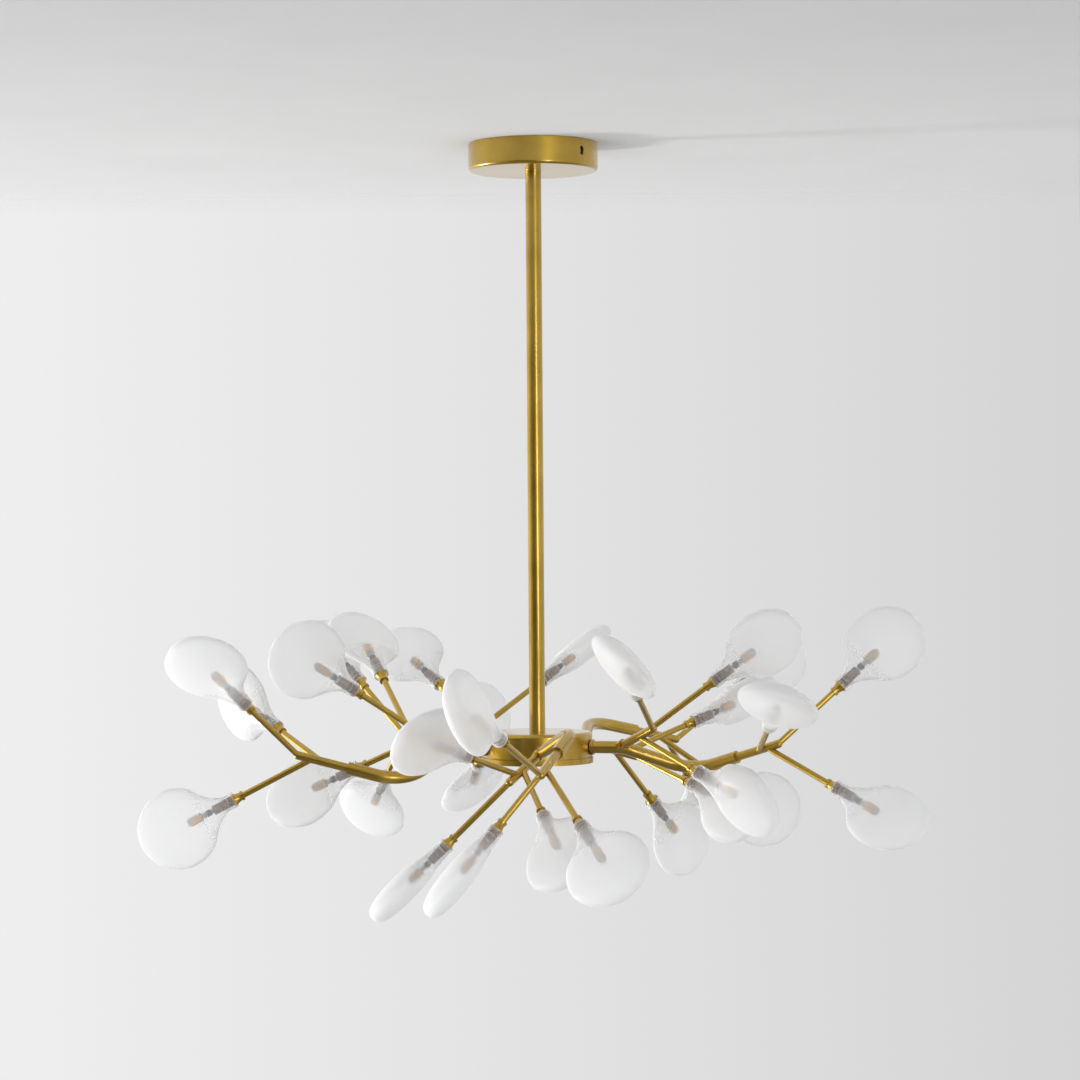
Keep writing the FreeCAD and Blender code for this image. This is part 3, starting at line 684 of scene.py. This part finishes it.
def dress_nodes(looks):
    for look, names in NODE_LOOKS.items():
        for name in names:
            dress_node(name, looks[look])
    for arm in ARMS:
        for look, parts in ARM_LOOKS.items():
            for part in parts:
                dress_node(f"{arm}_{part}", looks[look])


# Stage, light and camera

def studio_world():
    """Seen directly or through a shade the studio is pale; for light it is even and soft."""
    world = bpy.data.worlds.new("studio")
    world.use_nodes = True
    tree = world.node_tree
    tree.nodes.clear()
    direction = put(tree, "TexCoord").outputs["Generated"]
    sideways = put(tree, "SeparateXYZ", {0: direction}).outputs[0]
    pale = ranged(tree, sideways, -BACK_EDGE, BACK_EDGE, BACK_LEFT, BACK_RIGHT)
    towards = put(tree, "VectorMath", {0: direction, 1: DARK_SIDE}, operation="DOT_PRODUCT")
    dark_side = ranged(tree, towards.outputs["Value"], DARK_FROM, DARK_FULL, 0.0, 1.0)
    rays = put(tree, "LightPath").outputs
    glossy = maths(tree, "MULTIPLY", dark_side, rays["Is Glossy Ray"])
    seen = maths(tree, "MAXIMUM", rays["Is Camera Ray"], rays["Is Transmission Ray"])
    seen = maths(tree, "MAXIMUM", seen, rays["Is Glossy Ray"])
    pale_colour = put(tree, "CombineColor", {0: pale, 1: pale, 2: pale}).outputs[0]
    shown = mix_colour(tree, glossy, pale_colour, grey(DARK_LEVEL))
    soft = ranged(tree, sideways, -1.0, 1.0, LIGHT_LEFT, LIGHT_RIGHT)
    soft_colour = put(tree, "CombineColor", {0: soft, 1: soft, 2: soft}).outputs[0]
    colour = mix_colour(tree, seen, soft_colour, shown)
    light = put(tree, "Background", {"Color": colour, "Strength": 1.0})
    put(tree, "OutputWorld", {"Surface": light.outputs[0]})
    bpy.context.scene.world = world


def plane(name, corners, material):
    mesh = bpy.data.meshes.new(name)
    mesh.from_pydata(corners, [], [[0, 1, 2, 3]])
    mesh.materials.append(material)
    made = bpy.data.objects.new(name, mesh)
    bpy.context.scene.collection.objects.link(made)
    return made


def faded(tree, surface, cover):
    clear = put(tree, "BsdfTransparent").outputs[0]
    return put(tree, "MixShader", {0: cover, 1: clear, 2: surface}).outputs[0]


def ceiling_paint():
    """White ceiling with painted shade, darker towards the camera and at the right; it fades out at
    its borders and from above.
    """
    material, tree = new_tree("ceiling_paint")
    place = object_place(tree)
    x, y, _ = put(tree, "SeparateXYZ", {0: place}).outputs
    # painted shade: the paint darkens towards the camera and at the right, and is lighter at the left
    level = ranged(tree, y, PAINTED_SHADE_NEAR, PAINTED_SHADE_FAR, NEAR_SHADED_LEVEL, FAR_LIT_LEVEL)
    side = ranged(tree, x, -PAINTED_SHADE_HALF_WIDTH, PAINTED_SHADE_HALF_WIDTH, LEFT_LIT_SHARE, RIGHT_SHADED_SHARE)
    mottle = ranged(tree, noise(tree, place, 7.0, 6.0), 0.3, 0.7, 0.985, 1.015)
    level = maths(tree, "MULTIPLY", maths(tree, "MULTIPLY", level, side), mottle)
    colour = put(tree, "CombineColor", {0: level, 1: level, 2: level}).outputs[0]
    paint = put(tree, "BsdfDiffuse", {"Color": colour}).outputs[0]
    far = ranged(tree, y, CEILING_FADE_FAR, CEILING_FAR, 1.0, 0.0)
    wide = ranged(tree, maths(tree, "ABSOLUTE", x), CEILING_FADE_WIDE, CEILING_HALF_WIDTH, 1.0, 0.0)
    below = maths(tree, "SUBTRACT", 1.0, put(tree, "NewGeometry").outputs["Backfacing"])
    cover = maths(tree, "MULTIPLY", maths(tree, "MULTIPLY", far, wide), below)
    middle = put(tree, "VectorMath", {0: place}, operation="LENGTH").outputs["Value"]
    cover = maths(tree, "MULTIPLY", cover, maths(tree, "GREATER_THAN", middle, CEILING_OPEN_R))
    finish_surface(tree, faded(tree, paint, cover))
    return material


def floor_paint():
    """Plain pale floor that fades out round its border. To bounced light and in reflections it is
    darker than it looks: painted shade.
    """
    material, tree = new_tree("floor_paint")
    place = object_place(tree)
    x, y, _ = put(tree, "SeparateXYZ", {0: place}).outputs
    away = maths(tree, "SQRT", maths(tree, "ADD", maths(tree, "MULTIPLY", x, x),
                                     maths(tree, "MULTIPLY", y, y)))
    cover = ranged(tree, away, FLOOR_FADE, FLOOR_HALF, 1.0, 0.0)
    grain = ranged(tree, noise(tree, place, 3.0, 5.0), 0.3, 0.7, 0.86, 0.9)
    colour = put(tree, "CombineColor", {0: grain, 1: grain, 2: grain}).outputs[0]
    rays = put(tree, "LightPath").outputs
    # painted shade: darker to bounced light, and darker still in reflections
    colour = mix_colour(tree, rays["Is Diffuse Ray"], colour, grey(FLOOR_SHADED_BOUNCE))
    colour = mix_colour(tree, rays["Is Glossy Ray"], colour, grey(FLOOR_DARK_REFLECTION))
    paint = put(tree, "BsdfDiffuse", {"Color": colour}).outputs[0]
    finish_surface(tree, faded(tree, paint, cover))
    return material


def make_stage():
    low, high, half = CEILING_NEAR, CEILING_FAR, CEILING_HALF_WIDTH
    corners = [(-half, high, CEILING_GAP), (half, high, CEILING_GAP),
               (half, low, CEILING_GAP), (-half, low, CEILING_GAP)]
    plane("ceiling", corners, ceiling_paint())
    far = FLOOR_HALF
    corners = [(-far, -far, FLOOR_HEIGHT), (far, -far, FLOOR_HEIGHT),
               (far, far, FLOOR_HEIGHT), (-far, far, FLOOR_HEIGHT)]
    plane("floor", corners, floor_paint())


def area_light(name, place, aim, width, height, power):
    data = bpy.data.lights.new(name, "AREA")
    data.shape = "RECTANGLE"
    data.size = width
    data.size_y = height
    data.energy = power
    light = bpy.data.objects.new(name, data)
    light.location = place
    light.rotation_euler = (Vector(aim) - Vector(place)).to_track_quat("-Z", "Y").to_euler()
    bpy.context.scene.collection.objects.link(light)
    return light


def low_sun():
    """Hard light from the left, a little behind and below, so rod and canopy shade the ceiling."""
    data = bpy.data.lights.new("key_left", "SUN")
    data.energy = SUN_STRENGTH
    data.angle = SUN_ANGLE
    sun = bpy.data.objects.new("key_left", data)
    sun.rotation_euler = Vector(SUN_TOWARDS).to_track_quat("-Z", "Y").to_euler()
    bpy.context.scene.collection.objects.link(sun)


def make_lights():
    low_sun()
    strip = area_light("strip_right", **STRIP_LIGHT)
    strip.visible_camera = False
    fill = area_light("fill_left", **FILL_LIGHT)
    fill.visible_camera = False
    fill.visible_glossy = False


def make_camera():
    data = bpy.data.cameras.new("camera")
    data.sensor_width = SENSOR_MM
    data.lens = FOCAL_PX / PHOTO_SIDE * SENSOR_MM
    camera = bpy.data.objects.new("camera", data)
    level = Matrix.Rotation(math.pi / 2, 4, "X")
    roll = Matrix.Rotation(CAMERA_ROLL, 4, "Z")
    camera.matrix_world = Matrix.Translation(CAMERA_PLACE) @ level @ roll
    bpy.context.scene.collection.objects.link(camera)
    bpy.context.scene.camera = camera


LOOKS = {
    "gold": satin_gold(),
    "steel": plated_steel(),
    "driver": moulded_plastic("driver_case_moulding", (0.82, 0.83, 0.84, 1.0), 0.5, 900.0),
    "terminal": moulded_plastic("terminal_nylon", (0.78, 0.74, 0.66, 1.0), 0.4, 1200.0),
    "shade": frosted_shade("frosted_acrylic", 0.3, 0.34),
    "shade_inside": frosted_shade("acrylic_inside", 0.0, 0.16),
    "socket": socket_ceramic(),
    "capsule": capsule_body(),
    "dark": moulded_plastic("chip_black", (0.02, 0.02, 0.022, 1.0), 0.35, 1500.0),
    "strip": light_strip(),
}

make_camera()
dress_nodes(LOOKS)
dress_lamps(LOOKS)
studio_world()
make_stage()
make_lights()
bpy.context.scene.view_settings.view_transform = "Standard"
